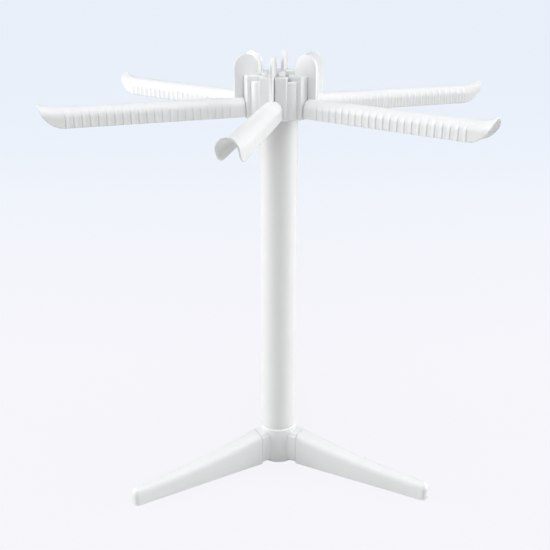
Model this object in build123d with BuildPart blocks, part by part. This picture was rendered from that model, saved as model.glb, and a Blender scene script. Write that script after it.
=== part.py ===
"""Pasta drying rack, a plug-together stand moulded in white plastic.

Three legs plug into a base hub, a tube stands on the hub, and a crown turns on the
tube. Six arms drop into the crown, each held by a tongue with a flange behind it.

Millimetres. The origin is on the tube's axis at the level of the table, +Z is up.
One leg points along +Y.
"""

import os
from math import cos, radians, sin

from build123d import *

# Fits between pieces that come apart
slip_fit = 0.3
turning_fit = 0.07
seat_gap = 0.2
overrun = 5

# Counts and directions
leg_count = 3
first_leg_azimuth = 90
arm_count = 6
crown_turn = 18.65

# Tube
tube_radius = 17
tube_wall = 2
tube_length = 313.8

# Base hub
hub_radius = 18.5
hub_height = 38
hub_edge = 1
hub_bore_radius = 11
hub_roof = 3.5
stub_reach = 25
stub_shoulder = 33
spigot_length = 32

# Legs
leg_reach = 161.9
leg_width = 20
leg_tip_width = 11.5
leg_tip_height = 16.5
leg_sag = 3.4
leg_edge = 3.2
leg_tip_corner = 4.6
leg_wall = 2.4
leg_rib = 1.8
leg_rib_count = 4
leg_rib_height = 11
tenon_length = 11
tenon_width = 12
tenon_height = 20
tenon_floor = 5
tenon_lead = 1

# Crown
crown_radius = 32
crown_height = 32
crown_floor = 5
crown_chamfer = 1
pad_reach = 33
pad_width = 22
pad_rise = 4
pad_edge = 1
well_flat = 19.3
crown_plug_length = 30
crown_plug_wall = 2.5

# Arms
arm_reach = 203.8
arm_width = 17
arm_height = 16
arm_wall = 2.4
shoulder_turn = 31
arm_lift = 1.3
lip_radius = 39
lip_turn = 25
lip_shares = (0, 0.33, 0.67, 1)
prow_radius = 20
prow_middle = 45
root_wall = 2.5
groove_count = 22
groove_last = 183.6
groove_pitch = 6.5
groove_width = 2
groove_depth = 1.2

# Tongue of each arm
tongue_thickness = 2.8
tongue_overhang = 7.8
tongue_rise = 17
flange_width = 6
flange_depth = 2.7
flange_top_gap = 1
web_length = 26

# Levels that follow from the sizes above
bore_radius = tube_radius - tube_wall
tube_bottom = hub_height + seat_gap
tube_top = tube_bottom + tube_length
crown_bottom = tube_top + seat_gap
crown_top = crown_bottom + crown_height
well_bottom = crown_bottom + crown_floor
pad_top = crown_top + pad_rise
arm_bottom = crown_bottom + arm_lift
arm_crest = arm_bottom + arm_height
arch_radius = arm_width / 2
arch_centre = arm_crest - arch_radius
arm_root = pad_reach + slip_fit
tongue_bottom = well_bottom + seat_gap
tongue_top = pad_top + tongue_rise
tongue_inner = well_flat - slip_fit
tongue_outer = pad_reach + tongue_overhang
lip_start = arm_reach - lip_radius * sin(radians(lip_turn))
spigot_radius = bore_radius - turning_fit
leg_root = stub_reach + seat_gap
flange_top = pad_top - flange_top_gap

os.makedirs("parts", exist_ok=True)


def save(piece, name):
    """Label a finished piece and write it under its name."""
    piece.label = name
    export_step(piece, f"parts/{name}.step")


def around(count, first):
    """Azimuths of pieces spread evenly round the tube."""
    return [first + 360 * index / count for index in range(count)]


def facing(azimuth):
    """Upright plane through the tube's axis, looking outwards, with Y up."""
    outward = Vector(1, 0, 0).rotate(Axis.Z, azimuth)
    return Plane(origin=(0, 0, 0), x_dir=outward.rotate(Axis.Z, 90), z_dir=outward)


leg_azimuths = around(leg_count, first_leg_azimuth)
arm_azimuths = around(arm_count, crown_turn)


# Tube: a plain round tube that slips over the spigot of the hub
with BuildPart() as tube:
    with BuildSketch(Plane.XY.offset(tube_bottom)):
        Circle(tube_radius)
        Circle(bore_radius, mode=Mode.SUBTRACT)
    extrude(amount=tube_length)
save(tube.part, "pole")


# Base hub: a round boss with a stub for each leg, and a hollow spigot for the tube
with BuildPart() as hub:
    for azimuth in leg_azimuths:
        with BuildSketch(facing(azimuth)) as stub_section:
            Rectangle(leg_width, stub_shoulder, align=(Align.CENTER, Align.MIN))
            chamfer(stub_section.vertices().group_by(Axis.Z)[-1], length=leg_edge)
        extrude(amount=stub_reach)
    with BuildSketch():
        Circle(hub_radius)
    extrude(amount=hub_height)
    chamfer(hub.faces().sort_by(Axis.Z)[-1].edges(), length=hub_edge)
    with BuildSketch(Plane.XY.offset(hub_height)):
        Circle(spigot_radius)
    extrude(amount=spigot_length)
    with BuildSketch():
        Circle(hub_bore_radius)
    extrude(amount=hub_height + spigot_length - hub_roof, mode=Mode.SUBTRACT)
    for azimuth in leg_azimuths:
        with BuildSketch(facing(azimuth)):
            with Locations((0, tenon_floor - slip_fit)):
                Rectangle(tenon_width + 2 * slip_fit, tenon_height + 2 * slip_fit,
                          align=(Align.CENTER, Align.MIN))
        extrude(amount=stub_reach + overrun, mode=Mode.SUBTRACT)
save(hub.part, "base_hub")


def leg_side(inset):
    """Side view of a leg: flat underneath, with a hollow top line to the tip."""
    root = leg_root + inset
    tip = leg_reach - inset
    high = stub_shoulder - inset
    low = leg_tip_height - inset
    middle = ((root + tip) / 2, (high + low) / 2 - leg_sag)
    with BuildSketch(Plane.XZ) as side:
        with BuildLine():
            Polyline((root, high), (root, 0), (tip, 0), (tip, low))
            ThreePointArc((tip, low), middle, (root, high))
        make_face()
    return side.sketch


def leg_plan(inset):
    """Plan of a leg: it narrows evenly from the root to the tip."""
    root = (leg_root + inset, leg_width / 2 - inset)
    tip = (leg_reach - inset, leg_tip_width / 2 - inset)
    with BuildSketch() as plan:
        with BuildLine():
            Polyline(root, tip, (tip[0], -tip[1]), (root[0], -root[1]), close=True)
        make_face()
    return plan.sketch


def leg_breadth(reach):
    """Breadth of a leg inside its walls at a reach."""
    share = (reach - leg_root) / (leg_reach - leg_root)
    return leg_width + (leg_tip_width - leg_width) * share - 2 * leg_wall


# Hollow of a leg, open below
with BuildPart() as leg_hollow:
    extrude(leg_side(leg_wall), amount=leg_width / 2, both=True)
    extrude(leg_plan(leg_wall), amount=stub_shoulder, mode=Mode.INTERSECT)

# Leg: a long tapered shell, open below and ribbed across, with a tenon at its root
with BuildPart() as leg:
    extrude(leg_side(0), amount=leg_width / 2, both=True)
    extrude(leg_plan(0), amount=stub_shoulder, mode=Mode.INTERSECT)
    fillet(leg.edges().filter_by(Axis.Z).group_by(Axis.X)[-1], radius=leg_tip_corner)
    chamfer(leg.faces().sort_by(Axis.Z)[-1].edges().sort_by(Axis.X)[1:], length=leg_edge)
    add(leg_hollow.part, mode=Mode.SUBTRACT)
    rib_step = (leg_reach - leg_root) / (leg_rib_count + 1)
    for index in range(leg_rib_count):
        rib_start = leg_root + rib_step * (index + 1)
        with BuildSketch(Plane.YZ.offset(rib_start)):
            with Locations((0, leg_tip_height - leg_wall - leg_rib_height)):
                Rectangle(leg_breadth(rib_start), leg_rib_height, align=(Align.CENTER, Align.MIN))
        extrude(amount=leg_rib)
    with BuildSketch(Plane.YZ.offset(leg_root + leg_wall)):
        with Locations((0, tenon_floor)):
            Rectangle(tenon_width, tenon_height, align=(Align.CENTER, Align.MIN))
    extrude(amount=-leg_wall - tenon_length)
    chamfer(leg.faces().sort_by(Axis.X)[0].edges(), length=tenon_lead)

for index, azimuth in enumerate(leg_azimuths):
    save(leg.part.rotate(Axis.Z, azimuth), f"leg_{index + 1}")


# Crown: a turning cup with a six-sided well, and a slotted pad for each arm
with BuildPart() as crown:
    with BuildSketch(Plane.XY.offset(crown_bottom)) as pads:
        with PolarLocations(0, arm_count, start_angle=crown_turn):
            Rectangle(pad_reach, pad_width, align=(Align.MIN, Align.CENTER))
    extrude(amount=pad_top - crown_bottom)
    pad_corners = crown.edges().filter_by(Axis.Z).filter_by(
        lambda edge: Vector(edge.center().X, edge.center().Y).length > crown_radius)
    chamfer(pad_corners, length=pad_edge)
    chamfer(crown.faces().sort_by(Axis.Z)[-1].edges(), length=pad_edge)
    with BuildSketch(Plane.XY.offset(crown_bottom)):
        Circle(crown_radius)
    extrude(amount=crown_height)
    chamfer(crown.faces().sort_by(Axis.Z)[0].edges(), length=crown_chamfer)
    with BuildSketch(Plane.XY.offset(crown_bottom)):
        Circle(spigot_radius)
    extrude(amount=-crown_plug_length)
    with BuildSketch(Plane.XY.offset(crown_bottom - crown_plug_length)):
        Circle(spigot_radius - crown_plug_wall)
    extrude(amount=crown_plug_length, mode=Mode.SUBTRACT)
    with BuildSketch(Plane.XY.offset(well_bottom)):
        RegularPolygon(well_flat, arm_count, major_radius=False, rotation=crown_turn + 180 / arm_count)
        with PolarLocations(0, arm_count, start_angle=crown_turn):
            Rectangle(pad_reach + overrun, tongue_thickness + 2 * slip_fit,
                      align=(Align.MIN, Align.CENTER))
    extrude(amount=pad_top - well_bottom, mode=Mode.SUBTRACT)
save(crown.part, "crown")


def arch(inset, reach):
    """Cross-section of an arm at a reach: a round crest, flat shoulders and straight skirts."""
    radius = arch_radius - inset
    across = radius * cos(radians(shoulder_turn))
    rise = arch_centre + radius * sin(radians(shoulder_turn))
    with BuildSketch(Plane.YZ.offset(reach)) as section:
        with BuildLine():
            ThreePointArc((-across, rise), (0, arch_centre + radius), (across, rise))
            Polyline((across, rise), (radius, arch_centre), (radius, arm_bottom),
                     (-radius, arm_bottom), (-radius, arch_centre), (-across, rise))
        make_face()
    return section.sketch


def tongue_side():
    """Side view of a tongue: a round-topped plate, stepped over the root of its arm."""
    round_radius = (tongue_outer - tongue_inner) / 2
    shoulder = tongue_top - round_radius
    web_end = arm_root + web_length
    with BuildSketch(Plane.XZ) as side:
        with BuildLine():
            Polyline((tongue_outer, shoulder), (tongue_outer, arm_crest - arm_wall / 2),
                     (web_end, arm_crest - arm_wall / 2), (tongue_outer, arm_bottom + root_wall),
                     (arm_root, arm_bottom + root_wall), (arm_root, tongue_bottom),
                     (tongue_inner - flange_depth, tongue_bottom), (tongue_inner - flange_depth, flange_top),
                     (tongue_inner, flange_top), (tongue_inner, shoulder))
            ThreePointArc((tongue_inner, shoulder), (tongue_inner + round_radius, tongue_top),
                          (tongue_outer, shoulder))
        make_face()
    return side.sketch


def prow():
    """What is cut away below and beyond the tip: all outside a quarter round."""
    start = arm_reach - prow_radius
    rise = arm_bottom + prow_radius
    slant = prow_radius * (1 - cos(radians(prow_middle)))
    with BuildSketch(Plane.XZ) as side:
        with BuildLine():
            ThreePointArc((start, arm_bottom), (arm_reach - slant, arm_bottom + slant), (arm_reach, rise))
            Polyline((arm_reach, rise), (arm_reach, rise + overrun), (arm_reach + lip_radius, rise + overrun),
                     (arm_reach + lip_radius, arm_bottom - overrun), (start, arm_bottom - overrun),
                     (start, arm_bottom))
        make_face()
    return side.sketch


# Arm: an upturned channel with a curled lip, grooved flanks and a tongue at its root
with BuildPart() as arm:
    lip_axis = Axis((lip_start, 0, arm_crest + lip_radius), (0, -1, 0))
    for inset, mode in ((0, Mode.ADD), (arm_wall, Mode.SUBTRACT)):
        extrude(arch(inset, arm_root), amount=lip_start - arm_root, mode=mode)
        lip_sections = [arch(inset, lip_start).rotate(lip_axis, lip_turn * share) for share in lip_shares]
        loft(lip_sections, ruled=True, mode=mode)
    extrude(prow(), amount=arm_width, both=True, mode=Mode.SUBTRACT)
    extrude(arch(0, arm_root), amount=root_wall)
    extrude(tongue_side(), amount=tongue_thickness / 2, both=True)
    with BuildSketch(Plane.XY.offset(tongue_bottom)):
        with Locations((tongue_inner - flange_depth, 0)):
            Rectangle(flange_depth, flange_width, align=(Align.MIN, Align.CENTER))
    extrude(amount=flange_top - tongue_bottom)
    with BuildSketch(Plane.XY.offset(arm_bottom)):
        for side in (-1, 1):
            for index in range(groove_count):
                place = groove_last - groove_pitch * index
                with BuildLine():
                    Polyline((place - groove_width / 2, side * arch_radius),
                             (place, side * (arch_radius - groove_depth)),
                             (place + groove_width / 2, side * arch_radius),
                             close=True)
                make_face()
    extrude(amount=arm_height, mode=Mode.SUBTRACT)

for index, azimuth in enumerate(arm_azimuths):
    save(arm.part.rotate(Axis.Z, azimuth), f"arm_{index + 1}")
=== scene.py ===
"""White plastic pasta drying rack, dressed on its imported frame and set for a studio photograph."""

from math import cos, radians, sin

import bmesh
import bpy
import numpy as np
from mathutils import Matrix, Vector


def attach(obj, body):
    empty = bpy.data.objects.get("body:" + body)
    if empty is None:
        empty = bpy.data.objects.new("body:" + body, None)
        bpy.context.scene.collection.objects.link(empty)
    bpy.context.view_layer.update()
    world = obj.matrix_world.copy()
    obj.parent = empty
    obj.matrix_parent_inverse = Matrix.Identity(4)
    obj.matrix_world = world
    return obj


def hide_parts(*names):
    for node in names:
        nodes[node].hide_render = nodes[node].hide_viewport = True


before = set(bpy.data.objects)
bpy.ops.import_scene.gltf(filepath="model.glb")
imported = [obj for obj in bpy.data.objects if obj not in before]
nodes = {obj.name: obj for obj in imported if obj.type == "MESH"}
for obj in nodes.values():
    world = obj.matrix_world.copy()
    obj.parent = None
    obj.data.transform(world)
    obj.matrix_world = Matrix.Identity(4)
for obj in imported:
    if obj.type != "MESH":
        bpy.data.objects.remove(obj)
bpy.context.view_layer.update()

# Sizes are in millimetres, and azimuths in degrees, up to the stage

MM = 0.001
STEP = 0.02

# Rack
LEG_COUNT = 3
LEG_FIRST = 90.0
ARM_COUNT = 6
ARM_FIRST = 18.65

# Arm
ARM_ROOT = 33.3
ARM_REACH = 203.8
ARM_CREST = 369.5
ARM_HEIGHT = 16.0
ARCH_RADIUS = 8.5
ARM_WALL = 2.4
ROOT_WALL = 2.5
RIM_DROP = 0.5
TIP_WALL = 1.2
TIP_THINNING = 30.0
LIP_RADIUS = 39.0
LIP_START = ARM_REACH - LIP_RADIUS * sin(radians(25))
LIP_END = radians(24.45)
PROW_RADIUS = 20.0
PROW_START = ARM_REACH - PROW_RADIUS
PROW_LEVEL = ARM_CREST - ARM_HEIGHT + PROW_RADIUS

# Grooves of an arm: middles from the tip inwards, then section by the place past a middle
GROOVE_LAST = 183.6
GROOVE_PITCH = 6.5
GROOVE_COUNT = 22
GROOVES = GROOVE_LAST - GROOVE_PITCH * np.arange(GROOVE_COUNT)
GROOVE_PLACES = (-2.6, -1.5, -0.35, 0.8, 0.95)
GROOVE_DEPTHS = (0.0, 0.0, 0.0, 0.4, 0.0)
LIP_HEIGHTS = (0.0, 0.16, 0.34, 0.0, 0.0)
GROOVE_STATIONS = np.append(np.linspace(-2.9, 1.2, 8), GROOVE_PLACES)

# Tongue of an arm
TONGUE_INNER = 19.0
TONGUE_OUTER = 40.8
TONGUE_TOP = 405.2
TONGUE_FOOT = 357.4
TONGUE_HALF = 1.4
TONGUE_ROUNDING = 0.45
WEB_FOOT = 356.0
WEB_REACH = 59.3
FLANGE_TOP = 387.2
FLANGE_HALF = 3.0
FLANGE_INNER = TONGUE_INNER - 2.7
FLANGE_OUTER = TONGUE_INNER + 0.6
FLANGE_ROUNDING = 0.5

# Crown
CROWN_BOTTOM = 352.2
CROWN_TOP = 384.2
PAD_TOP = 388.2
PAD_REACH = 33.0
PAD_HALF = 11.6
PAD_ROUNDING = 1.0
SLOT_HALF = 1.7
WELL_FLAT = 19.3
WELL_BOTTOM = 357.2
WELL_ROUNDING = 0.4
FLOOR_ROUNDING = 0.6
CORE_RADIUS = 27.0
COLUMN_RADIUS = 7.5
PLUG_RADII = (12.43, 14.93)
PLUG_BOTTOM = 322.2
PLUG_OVERLAP = 1.0

# Leg
LEG_ROOT = 25.2
LEG_REACH = 161.9
LEG_HALF = (10.0, 5.75)
LEG_TOP = ((25.2, 33.0), (93.55, 21.35), (161.9, 16.5))
LEG_ROUNDING = 5.4
LEG_CORNER = 4.6
LEG_WALL = 2.4
LEG_FLOOR = 0.4
LEAST_HALF = 0.1
TENON_LENGTH = 11.0
TENON_HALF = 6.0
TENON_HEIGHTS = (5.0, 25.0)
TENON_ROUNDING = 0.8
RIB_COUNT = 4
RIB_PITCH = (LEG_REACH - LEG_ROOT) / (RIB_COUNT + 1)
RIB_THICKNESS = 1.8
RIB_HEIGHTS = (3.1, 14.1)
RIB_ROUNDING = 0.3

# Tube
TUBE_RADIUS = 17.0
TUBE_BORE = 15.0
TUBE_ENDS = (38.2, 352.0)
TUBE_ROUNDING = 0.4

# Base hub: widths of the bevels on its sharp edges and on its slanted ones
HUB_SHARP = 0.5
HUB_SLANTED = 1.8

# Camera, worked out from the rack's own symmetry, and turned with it
RACK_TURN = radians(-1.69)
CAMERA_AT = (-3.41, -679.75, 469.94)
CAMERA_TO = (-3.41, 0.0, 200.03)
LENS = 50.06


def turned(point, angle):
    """A point turned about the upright axis, in metres."""
    x, y, z = point
    return Vector((x * cos(angle) - y * sin(angle), x * sin(angle) + y * cos(angle), z)) * MM


# Materials

FLOW_SHADE = 0.975
GLOSS_SPREAD = (-0.05, 0.06)


def noise(tree, where, scale, detail):
    """A noise over the object's own coordinates."""
    node = tree.nodes.new("ShaderNodeTexNoise")
    node.inputs["Scale"].default_value = scale
    node.inputs["Detail"].default_value = detail
    tree.links.new(where.outputs["Object"], node.inputs["Vector"])
    return node.outputs["Fac"]


def plastic(name, colour, roughness):
    """White moulded plastic: a satin skin with faint flow marks and fine grain."""
    material = bpy.data.materials.new(name)
    material.use_nodes = True
    tree = material.node_tree
    skin = tree.nodes["Principled BSDF"]
    skin.inputs["IOR"].default_value = 1.52
    where = tree.nodes.new("ShaderNodeTexCoord")

    flow = noise(tree, where, 22, 3)
    tint = tree.nodes.new("ShaderNodeMix")
    tint.data_type = "RGBA"
    tint.inputs["A"].default_value = (*[c * FLOW_SHADE for c in colour], 1)
    tint.inputs["B"].default_value = (*colour, 1)
    tree.links.new(flow, tint.inputs["Factor"])
    tree.links.new(tint.outputs["Result"], skin.inputs["Base Color"])

    gloss = tree.nodes.new("ShaderNodeMapRange")
    gloss.inputs["From Min"].default_value = 0.35
    gloss.inputs["From Max"].default_value = 0.65
    gloss.inputs["To Min"].default_value = roughness + GLOSS_SPREAD[0]
    gloss.inputs["To Max"].default_value = roughness + GLOSS_SPREAD[1]
    tree.links.new(flow, gloss.inputs["Value"])
    tree.links.new(gloss.outputs["Result"], skin.inputs["Roughness"])

    bump = tree.nodes.new("ShaderNodeBump")
    bump.inputs["Strength"].default_value = 0.12
    bump.inputs["Distance"].default_value = 0.0001
    tree.links.new(noise(tree, where, 900, 2), bump.inputs["Height"])
    tree.links.new(bump.outputs["Normal"], skin.inputs["Normal"])
    return material


white = plastic("white moulded plastic", (0.85, 0.86, 0.865), 0.34)
tube_white = plastic("white extruded tube", (0.86, 0.865, 0.865), 0.36)


# Surfaces: each is a skin, a list of points and a list of faces

def numbered(rings):
    """Numbers of the points of rings, by row and column."""
    return np.arange(rings.shape[0] * rings.shape[1]).reshape(rings.shape[:2])


def bands(index):
    """Quads between successive rows of numbered points, each row closed round on itself."""
    beside = np.roll(index, -1, axis=1)
    return np.stack([index[:-1], index[1:], beside[1:], beside[:-1]], -1).reshape(-1, 4).tolist()


def skinned(rings):
    """A closed skin over rings of points, rows along and columns round, with a fan over each end ring."""
    index = numbered(rings)
    beside = np.roll(index, -1, axis=1)
    near = np.stack([0 * index[0] + index.size, index[0], beside[0]], -1)
    far = np.stack([0 * index[0] + index.size + 1, beside[-1], index[-1]], -1)
    points = np.concatenate([rings.reshape(-1, 3), rings[[0, -1]].mean(1)])
    return points, bands(index) + near.tolist() + far.tolist()


def looped(rings):
    """A closed skin over rings of points that joins its last ring to its first, as a tube's wall does."""
    index = numbered(rings)
    return rings.reshape(-1, 3), bands(np.concatenate([index, index[:1]]))


def plate(outline, half, rounding):
    """A flat plate across Y from an outline in X and Z, its edges rounded by quarter circles.

    The outline runs anticlockwise seen from -Y, and each corner moves in along its mitre.
    """
    forward = np.roll(outline, -1, axis=0) - outline
    forward /= np.linalg.norm(forward, axis=1, keepdims=True)
    inward = np.stack([-forward[:, 1], forward[:, 0]], -1)
    mitre = inward + np.roll(inward, 1, axis=0)
    mitre *= 2 / np.sum(mitre ** 2, axis=1, keepdims=True)
    turn = np.linspace(0, np.pi / 2, 4)
    inset = np.concatenate([rounding * (1 - np.sin(turn)), rounding * (1 - np.sin(turn[::-1]))])
    level = half - rounding * (1 - np.cos(turn))
    level = np.concatenate([-level, level[::-1]])
    flat = outline[None] + mitre[None] * inset[:, None, None]
    rings = np.stack([flat[..., 0], 0 * flat[..., 0] + level[:, None], flat[..., 1]], -1)
    index = numbered(rings)
    return rings.reshape(-1, 3), bands(index) + [index[0].tolist(), index[-1, ::-1].tolist()]


def upright(outline, low, high, rounding):
    """The plate stood up: a prism between two heights over an outline in X and Y, anticlockwise from +Z."""
    points, faces = plate(outline, (high - low) / 2, rounding)
    return np.stack([points[:, 0], points[:, 2], (low + high) / 2 - points[:, 1]], -1), faces


def eased_corners(outline, reach):
    """An outline whose corners are parabolas: each starts and ends at the given reach from the corner."""
    before = np.roll(outline, 1, axis=0) - outline
    after = np.roll(outline, -1, axis=0) - outline
    before *= reach / np.linalg.norm(before, axis=1, keepdims=True)
    after *= reach / np.linalg.norm(after, axis=1, keepdims=True)
    share = np.linspace(0, 1, 7)[None, :, None]
    corners = outline[:, None] + (1 - share) ** 2 * before[:, None] + share ** 2 * after[:, None]
    return corners.reshape(-1, 2)


def about(outline, azimuth):
    """An outline in X and Y turned about the upright axis."""
    across, along = sin(radians(azimuth)), cos(radians(azimuth))
    return outline @ np.array([[along, across], [-across, along]])


def slab(low, high, rounding):
    """A rounded block between two corners: the plate over its own rectangle in X and Z."""
    (x0, y0, z0), (x1, y1, z1) = low, high
    outline = np.array([[x0, z0], [x1, z0], [x1, z1], [x0, z1]])
    points, faces = plate(outline, (y1 - y0) / 2, rounding)
    return points + np.array([0, (y0 + y1) / 2, 0]), faces


def joined(*skins):
    """Several skins as one list of points and faces."""
    starts = np.cumsum([0] + [len(points) for points, faces in skins])
    shifted = []
    for start, (_, faces) in zip(starts.tolist(), skins):
        shifted += [[start + corner for corner in face] for face in faces]
    return np.concatenate([points for points, _ in skins]), shifted


def new_piece(name, skin, azimuth=0.0):
    """A smooth-shaded object at the origin, its skin turned about the upright axis and put in metres."""
    points, faces = skin
    points = np.column_stack([about(points[:, :2], azimuth), points[:, 2]])
    mesh = bpy.data.meshes.new(name)
    mesh.from_pydata((points * MM).tolist(), [], faces)
    mesh.polygons.foreach_set("use_smooth", np.ones(len(faces), bool))
    piece = bpy.data.objects.new(name, mesh)
    bpy.context.scene.collection.objects.link(piece)
    return piece


def crest_curve(half, crest, radius, floor, count):
    """Outline of an upturned channel, over its crest from floor to floor: across and height.

    A flat top, a quarter round of the given radius on each side and straight sides. The parameter is
    the length along the outline from the middle of the top, scaled so that it ends at the floor, and
    where the floor lies above the sides it ends on the quarter round.
    """
    sizes = (half, crest, radius, floor)
    half, crest, radius, floor = (np.asarray(size, float)[:, None] for size in sizes)
    flat = half - radius
    spring = crest - radius
    above = np.clip((floor - spring) / radius, 0, 1)
    length = flat + radius * np.arccos(above) + np.clip(spring - floor, 0, None)
    along = np.linspace(-1, 1, count)[None] * length
    bent = np.clip(np.abs(along) - flat, 0, radius * np.pi / 2)
    down = np.clip(np.abs(along) - flat - bent, 0, None)
    across = np.sign(along) * (np.minimum(np.abs(along), flat) + radius * np.sin(bent / radius))
    return np.stack([across, spring + radius * np.cos(bent / radius) - down], -1)


def rim(outside, inside, level, drop, count=9):
    """Rounded lower edge of a wall: across it by a cosine, and down by one less a fourth power."""
    share = 0.5 * (1 - np.cos(np.linspace(0, np.pi, count)))[None]
    across = outside[:, None] + (inside - outside)[:, None] * share
    return np.stack([across, level[:, None] - drop * (1 - (2 * share - 1) ** 4)], -1)[:, 1:-1]


def channel(outer, inner, filled, floor, drop):
    """Sections of a channel: over the outside, round a rim, back inside and round the other rim.

    Where the channel is filled, the inside lies flat on the floor.
    """
    flat = np.linspace(-1, 1, inner.shape[1])[None] * inner[:, -1:, 0]
    inner[filled, :, 0] = flat[filled]
    inner[..., 1] = np.where(filled[:, None], floor[:, None], np.maximum(inner[..., 1], floor[:, None]))
    right = rim(outer[:, -1, 0], inner[:, -1, 0], floor, drop)
    left = rim(inner[:, 0, 0], outer[:, 0, 0], floor, drop)
    return np.concatenate([outer, right, inner[:, ::-1], left], 1)


def rounded_start(section, place, rounding, size):
    """Sections and places with a start face before them: the first section drawn in by a quarter round."""
    turn = np.linspace(0, np.pi / 2, 5)[:-1]
    middle = section[:1].mean(1, keepdims=True)
    inset = rounding * (1 - np.sin(turn)) / size
    start = middle + (section[:1] - middle) * (1 - inset)[:, None, None]
    return np.concatenate([start, section]), np.concatenate([place[0] - rounding * np.cos(turn), place])


def arm_channel():
    """Channel of an arm along +X: grooved flanks, and a tip that curls up and is cut to a quarter round.

    Stations run straight to the curl, then round it by angle. A section ends where the prow's circle
    meets it. Each groove draws the flanks in by a wedge, steep on its tip side, and the channel
    swells in width by a low lip on its root side, both by straight lines between given places.
    """
    straight = np.unique(np.round(np.concatenate([
        np.linspace(ARM_ROOT + RIM_DROP, LIP_START, 70),
        ARM_ROOT + ROOT_WALL + np.array([-STEP, 0.0]),
        (GROOVES[:, None] + GROOVE_STATIONS[None]).ravel(),
    ]), 3))
    turn = LIP_END * np.sin(np.linspace(0, np.pi / 2, 40)[1:])
    place = np.concatenate([straight, LIP_START + 0 * turn])
    angle = np.concatenate([0 * straight, turn])

    ahead = np.clip(place - PROW_START, 0, None)
    floor = PROW_LEVEL - ARM_CREST - np.sqrt(PROW_RADIUS ** 2 - ahead ** 2)
    offset = LIP_START - PROW_START
    level = ARM_CREST + LIP_RADIUS - PROW_LEVEL
    mixed = offset * np.sin(angle) - level * np.cos(angle)
    reach = np.sqrt(mixed ** 2 - offset ** 2 - level ** 2 + PROW_RADIUS ** 2) - mixed
    floor = np.where(angle > 0, LIP_RADIUS - reach, floor)
    floor = np.clip(floor, -ARM_HEIGHT, None) + RIM_DROP

    arch = np.full(len(place), ARCH_RADIUS)
    outer = crest_curve(arch, 0 * arch, arch, floor, 61)
    length = place + LIP_RADIUS * angle
    wall = ARM_WALL + (TIP_WALL - ARM_WALL) * np.clip(1 - (length.max() - length) / TIP_THINNING, 0, 1)
    inner = crest_curve(arch - wall, -wall, arch - wall, np.minimum(floor, -wall), 41)
    apart = place[:, None] - GROOVES[None]
    away = apart[np.arange(len(place)), np.abs(apart).argmin(1)]
    groove = np.interp(away, GROOVE_PLACES, GROOVE_DEPTHS)
    lip = np.interp(away, GROOVE_PLACES, LIP_HEIGHTS)
    limit = (ARCH_RADIUS - groove)[:, None]
    outer[..., 0] = np.clip(outer[..., 0], -limit, limit) * (1 + lip / ARCH_RADIUS)[:, None]

    section = channel(outer, inner, place < ARM_ROOT + ROOT_WALL - STEP / 2, floor, RIM_DROP)
    section, place = rounded_start(section, place, RIM_DROP, ARCH_RADIUS)
    angle = np.pad(angle, (len(place) - len(angle), 0))
    out = LIP_RADIUS - section[..., 1]
    x = place[:, None] + out * np.sin(angle)[:, None]
    z = ARM_CREST + LIP_RADIUS - out * np.cos(angle)[:, None]
    return skinned(np.stack([x, section[..., 0], z], -1))


def tongue():
    """Tongue of an arm: a plate with a half-round top, its web under the arm's crest, and its flange."""
    middle = (TONGUE_INNER + TONGUE_OUTER) / 2
    radius = (TONGUE_OUTER - TONGUE_INNER) / 2
    turn = np.linspace(0, np.pi, 33)
    top = np.stack([middle + radius * np.cos(turn), TONGUE_TOP - radius + radius * np.sin(turn)], -1)
    web_top = ARM_CREST - ARM_WALL / 2
    foot = np.array([[TONGUE_INNER, TONGUE_FOOT], [ARM_ROOT, TONGUE_FOOT], [ARM_ROOT, WEB_FOOT],
                     [TONGUE_OUTER, WEB_FOOT], [WEB_REACH, web_top], [TONGUE_OUTER, web_top]])
    flange = slab((FLANGE_INNER, -FLANGE_HALF, TONGUE_FOOT), (FLANGE_OUTER, FLANGE_HALF, FLANGE_TOP),
                  FLANGE_ROUNDING)
    return joined(plate(np.concatenate([top, foot]), TONGUE_HALF, TONGUE_ROUNDING), flange)


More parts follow.
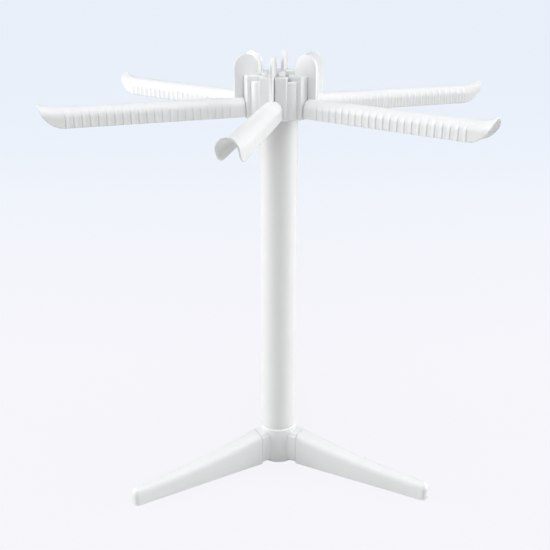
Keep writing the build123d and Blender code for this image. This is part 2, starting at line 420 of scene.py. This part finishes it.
def crown_skins():
    """Crown: a pad on both sides of each slot, round columns between the slots, and the well's wall.

    The well's wall runs from slot to slot, an arc outside and the corner of a six-sided well inside.
    A disc closes the well below, and a ring of wall plugs into the tube.
    """
    turn = np.linspace(0, 2 * np.pi, 97)[:-1]
    ring = np.stack([np.cos(turn), np.sin(turn)], -1)
    pad = [[WELL_FLAT, SLOT_HALF], [PAD_REACH, SLOT_HALF], [PAD_REACH, PAD_HALF], [WELL_FLAT, PAD_HALF]]
    pad = eased_corners(np.array(pad), PAD_ROUNDING)
    column = COLUMN_RADIUS * ring + np.array([PAD_REACH - COLUMN_RADIUS, 0])
    edge = np.arcsin(SLOT_HALF / CORE_RADIUS)
    sweep = np.linspace(edge, np.pi / 3 - edge, 24)
    corner = WELL_FLAT / cos(np.pi / 6)
    slot_end = np.array([[WELL_FLAT, SLOT_HALF]])
    core = np.concatenate([
        CORE_RADIUS * np.stack([np.cos(sweep), np.sin(sweep)], -1),
        about(slot_end * np.array([1, -1]), 60),
        corner * np.array([[cos(np.pi / 6), sin(np.pi / 6)]]),
        slot_end,
    ])
    skins = []
    for azimuth in ARM_FIRST + 60 * np.arange(ARM_COUNT):
        for side in (pad, pad[::-1] * np.array([1, -1])):
            skins.append(upright(about(side, azimuth), CROWN_BOTTOM, PAD_TOP, PAD_ROUNDING))
        skins.append(upright(about(column, azimuth + 30), CROWN_BOTTOM, CROWN_TOP, PAD_ROUNDING))
        skins.append(upright(about(core, azimuth), CROWN_BOTTOM, CROWN_TOP, WELL_ROUNDING))
    skins.append(upright(CORE_RADIUS * ring, CROWN_BOTTOM, WELL_BOTTOM, FLOOR_ROUNDING))
    inner, outer = PLUG_RADII
    radius = np.array([inner, outer, outer, inner])
    plug_top = CROWN_BOTTOM + PLUG_OVERLAP
    height = np.array([PLUG_BOTTOM, PLUG_BOTTOM, plug_top, plug_top])
    turn = turn[:, None]
    skins.append(looped(np.stack([radius * np.cos(turn), radius * np.sin(turn), height + 0 * turn], -1)))
    return joined(*skins)


def leg_half(place):
    """Half the width of a leg by its place, narrowing evenly from root to tip."""
    return LEG_HALF[0] + (LEG_HALF[1] - LEG_HALF[0]) * (place - LEG_ROOT) / (LEG_REACH - LEG_ROOT)


def leg_channel():
    """Channel of a leg along +X: it narrows to the tip, its top line is an arc, and its edges are rounded.

    Past the last corner, the sides and the top draw in by quarter rounds.
    """
    (x1, z1), (x2, z2), (x3, z3) = LEG_TOP
    tilt = np.array([[x2 - x1, z2 - z1], [x3 - x1, z3 - z1]])
    gap = np.array([x2 ** 2 - x1 ** 2 + z2 ** 2 - z1 ** 2, x3 ** 2 - x1 ** 2 + z3 ** 2 - z1 ** 2]) / 2
    centre = np.linalg.solve(tilt, gap)
    radius = np.hypot(x1 - centre[0], z1 - centre[1])

    inside = np.array([LEG_ROOT + LEG_WALL, LEG_REACH - LEG_WALL])
    place = np.unique(np.round(np.concatenate([
        np.linspace(LEG_ROOT + LEG_FLOOR, LEG_REACH - LEG_ROUNDING, 60),
        inside - STEP, inside + STEP,
        LEG_REACH - LEG_ROUNDING * (1 - np.sin(np.linspace(0, np.pi / 2, 24))),
    ]), 3))
    half = leg_half(place)
    past = np.clip(place - LEG_REACH + LEG_CORNER, 0, LEG_CORNER)
    half -= LEG_CORNER - np.sqrt(LEG_CORNER ** 2 - past ** 2)
    past = np.clip(place - LEG_REACH + LEG_ROUNDING, 0, LEG_ROUNDING)
    crest = centre[1] - np.sqrt(radius ** 2 - (place - centre[0]) ** 2)
    crest -= LEG_ROUNDING - np.sqrt(LEG_ROUNDING ** 2 - past ** 2)

    floor = np.full(len(place), LEG_FLOOR)
    rounding = np.minimum(LEG_ROUNDING, half)
    outer = crest_curve(half, crest, rounding, floor, 101)
    within = np.maximum(half - LEG_WALL, LEAST_HALF)
    inner = crest_curve(within, crest - LEG_WALL, np.minimum(within, LEG_ROUNDING - LEG_WALL), floor, 61)
    filled = (place < inside[0]) | (place > inside[1])
    section = channel(outer, inner, filled, floor, LEG_FLOOR)
    section, place = rounded_start(section, place, LEG_FLOOR, LEG_HALF[0])
    return skinned(np.stack([place[:, None] + 0 * section[..., 0], section[..., 0], section[..., 1]], -1))


def leg_insides():
    """Tenon of a leg, and the ribs across its hollow, each as wide as the hollow where it stands."""
    skins = [slab((LEG_ROOT - TENON_LENGTH, -TENON_HALF, TENON_HEIGHTS[0]),
                  (LEG_ROOT + LEG_WALL, TENON_HALF, TENON_HEIGHTS[1]), TENON_ROUNDING)]
    for place in LEG_ROOT + RIB_PITCH * np.arange(1, RIB_COUNT + 1):
        half = leg_half(place) - LEG_WALL
        skins.append(slab((place, -half, RIB_HEIGHTS[0]), (place + RIB_THICKNESS, half, RIB_HEIGHTS[1]),
                          RIB_ROUNDING))
    return joined(*skins)


def tube_wall():
    """Wall of the tube: its upright section, with rounded rims, turned once round the axis."""
    turn = np.linspace(0, np.pi / 2, 5)
    across, up = TUBE_ROUNDING * np.sin(turn), TUBE_ROUNDING * np.cos(turn)
    low, high = TUBE_ENDS[0] + TUBE_ROUNDING, TUBE_ENDS[1] - TUBE_ROUNDING
    run = np.linspace(low, high, 40)[1:-1]
    out, into = TUBE_RADIUS - TUBE_ROUNDING, TUBE_BORE + TUBE_ROUNDING
    r = np.concatenate([out + across, 0 * run + TUBE_RADIUS, out + up,
                        into - across, 0 * run + TUBE_BORE, into - up])
    z = np.concatenate([low - up, run, high + across, high + up, run[::-1], low - across])
    azimuth = np.linspace(0, 2 * np.pi, 193)[:-1, None]
    return looped(np.stack([r * np.cos(azimuth), r * np.sin(azimuth), z + 0 * azimuth], -1))


# Pieces

def finish_piece(piece, material, body):
    """Put a piece on its body, in its material, in place of the body's plain node."""
    piece.data.materials.clear()
    piece.data.materials.append(material)
    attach(piece, body)
    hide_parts(body)


def softened(node, name, sharp, slanted):
    """A copy of a moulded piece with its edges rounded: slanted ones by one width, sharp ones by another."""
    mesh = nodes[node].data.copy()
    mesh.name = name
    work = bmesh.new()
    work.from_mesh(mesh)
    bmesh.ops.remove_doubles(work, verts=work.verts, dist=1e-6)
    bmesh.ops.dissolve_limit(work, angle_limit=radians(0.4), verts=work.verts, edges=work.edges)
    weight = work.edges.layers.float.new("bevel_weight_edge")
    for edge in work.edges:
        bend = edge.calc_face_angle(0)
        share = 1 if radians(40) < bend < radians(50) else sharp / slanted
        edge[weight] = share * (bend > radians(28))
    for face in work.faces:
        face.smooth = True
    work.to_mesh(mesh)
    work.free()
    piece = bpy.data.objects.new(name, mesh)
    bpy.context.scene.collection.objects.link(piece)
    rounding = piece.modifiers.new("rounding", "BEVEL")
    rounding.limit_method = "WEIGHT"
    rounding.width = slanted * MM
    rounding.segments = 3
    rounding.harden_normals = True
    rounding.miter_outer = "MITER_ARC"
    return piece


arm_skin = joined(arm_channel(), tongue())
leg_skin = joined(leg_channel(), leg_insides())

finish_piece(new_piece("crown_slotted", crown_skins()), white, "crown")
finish_piece(softened("base_hub", "base_hub_rounded", HUB_SHARP, HUB_SLANTED), white, "base_hub")
for number in range(LEG_COUNT):
    leg = f"leg_{number + 1}"
    finish_piece(new_piece(leg + "_shell", leg_skin, LEG_FIRST + 360 * number / LEG_COUNT), white, leg)
for number in range(ARM_COUNT):
    arm = f"arm_{number + 1}"
    finish_piece(new_piece(arm + "_shell", arm_skin, ARM_FIRST + 360 * number / ARM_COUNT), white, arm)
finish_piece(new_piece("pole_tube", tube_wall()), tube_white, "pole")


# Stage, in metres and watts

FLOOR_NEAR = -4
FLOOR_DEPTH = 9
FLAT_SHARE = 0.6
BEND_RADIUS = 2.5
WALL_TOP = 8
STAGE_HALF = 9
CAMERA_GLOW = 0.92
# Painted shade: the camera glow is dimmer and bluer far from the rack. It stands in for the light falling off
# across the far floor and wall.
NEAR_GLOW = (0.935, 0.928, 0.975, 1)
FAR_GLOW_PAINTED_SHADE = (0.865, 0.925, 1.01, 1)
PAINTED_FALLOFF_RANGE = (0.1, 1.6)


def floor_and_backdrop():
    """One pale sheet: a floor that curves up far behind into a wall, drawn as a profile swept sideways."""
    run = np.linspace(0, 1, 60)
    turn = np.clip((run - FLAT_SHARE) / (1 - FLAT_SHARE), 0, 1) * np.pi / 2
    y = FLOOR_NEAR + FLOOR_DEPTH * np.minimum(run / FLAT_SHARE, 1) + BEND_RADIUS * np.sin(turn)
    z = BEND_RADIUS * (1 - np.cos(turn))
    y = np.append(y, y[-1])
    z = np.append(z, WALL_TOP)
    x = np.linspace(-STAGE_HALF, STAGE_HALF, 3)
    points = np.stack(np.broadcast_arrays(x[:, None], y[None], z[None]), -1)
    index = numbered(points)
    quads = np.stack([index[:-1, :-1], index[1:, :-1], index[1:, 1:], index[:-1, 1:]], -1).reshape(-1, 4)
    mesh = bpy.data.meshes.new("floor_sheet")
    mesh.from_pydata(points.reshape(-1, 3).tolist(), [], quads.tolist())
    mesh.polygons.foreach_set("use_smooth", np.ones(len(quads), bool))
    sheet = bpy.data.objects.new("floor_sheet", mesh)
    bpy.context.scene.collection.objects.link(sheet)
    return sheet


def pale_sheet():
    """Floor finish: matt and pale to the light, and to the camera mostly an even glow that grows dimmer and
    bluer far away, a painted fall-off of light towards the backdrop.
    """
    material = bpy.data.materials.new("pale studio sheet")
    material.use_nodes = True
    tree = material.node_tree
    matt = tree.nodes["Principled BSDF"]
    matt.inputs["Base Color"].default_value = (0.71, 0.70, 0.69, 1)
    matt.inputs["Roughness"].default_value = 0.9
    matt.inputs["Specular IOR Level"].default_value = 0.1
    glow = tree.nodes.new("ShaderNodeEmission")
    place = tree.nodes.new("ShaderNodeTexCoord")
    apart = tree.nodes.new("ShaderNodeSeparateXYZ")
    # Painted shade: blend the glow from its near colour to its dimmer far colour by distance along Y.
    painted_falloff = tree.nodes.new("ShaderNodeMapRange")
    painted_falloff.inputs["From Min"].default_value = PAINTED_FALLOFF_RANGE[0]
    painted_falloff.inputs["From Max"].default_value = PAINTED_FALLOFF_RANGE[1]
    shade = tree.nodes.new("ShaderNodeMix")
    shade.data_type = "RGBA"
    shade.inputs["A"].default_value = NEAR_GLOW
    shade.inputs["B"].default_value = FAR_GLOW_PAINTED_SHADE
    tree.links.new(place.outputs["Object"], apart.inputs["Vector"])
    tree.links.new(apart.outputs["Y"], painted_falloff.inputs["Value"])
    tree.links.new(painted_falloff.outputs["Result"], shade.inputs["Factor"])
    tree.links.new(shade.outputs["Result"], glow.inputs["Color"])
    light_path = tree.nodes.new("ShaderNodeLightPath")
    seen = tree.nodes.new("ShaderNodeMath")
    seen.operation = "MULTIPLY"
    seen.inputs[1].default_value = CAMERA_GLOW
    tree.links.new(light_path.outputs["Is Camera Ray"], seen.inputs[0])
    blend = tree.nodes.new("ShaderNodeMixShader")
    tree.links.new(seen.outputs["Value"], blend.inputs["Fac"])
    tree.links.new(matt.outputs["BSDF"], blend.inputs[1])
    tree.links.new(glow.outputs["Emission"], blend.inputs[2])
    tree.links.new(blend.outputs["Shader"], tree.nodes["Material Output"].inputs["Surface"])
    return material


stage_sheet = floor_and_backdrop()
stage_sheet.data.materials.append(pale_sheet())

world = bpy.data.worlds.new("studio")
bpy.context.scene.world = world
world.use_nodes = True
world.node_tree.nodes["Background"].inputs["Color"].default_value = (0.97, 0.985, 1, 1)
world.node_tree.nodes["Background"].inputs["Strength"].default_value = 0.29


def lamp(name, place, aim, size, power, colour=(1, 1, 1)):
    """A rectangular soft lamp at a place, turned towards a point."""
    data = bpy.data.lights.new(name, "AREA")
    data.shape = "RECTANGLE"
    data.size, data.size_y = size
    data.energy = power
    data.color = colour
    light = bpy.data.objects.new(name, data)
    bpy.context.scene.collection.objects.link(light)
    light.location = place
    light.rotation_euler = (Vector(aim) - Vector(place)).to_track_quat("-Z", "Y").to_euler()


lamp("overhead", (0, -0.6, 1.9), (0, 0, 0.2), (2.0, 1.4), 20, (0.985, 0.995, 1))
for name, side in (("left", -1), ("right", 1)):
    lamp(name, (1.7 * side, 0.15, 0.8), (0, 0, 0.25), (1.5, 1.5), 25.5)

# Camera

camera_data = bpy.data.cameras.new("camera")
camera_data.lens = LENS
camera_data.sensor_width = 36
camera = bpy.data.objects.new("camera", camera_data)
bpy.context.scene.collection.objects.link(camera)
bpy.context.scene.camera = camera
camera.location = turned(CAMERA_AT, RACK_TURN)
look = turned(CAMERA_TO, RACK_TURN) - camera.location
camera.rotation_euler = look.to_track_quat("-Z", "Y").to_euler()

bpy.context.scene.view_settings.view_transform = "Standard"
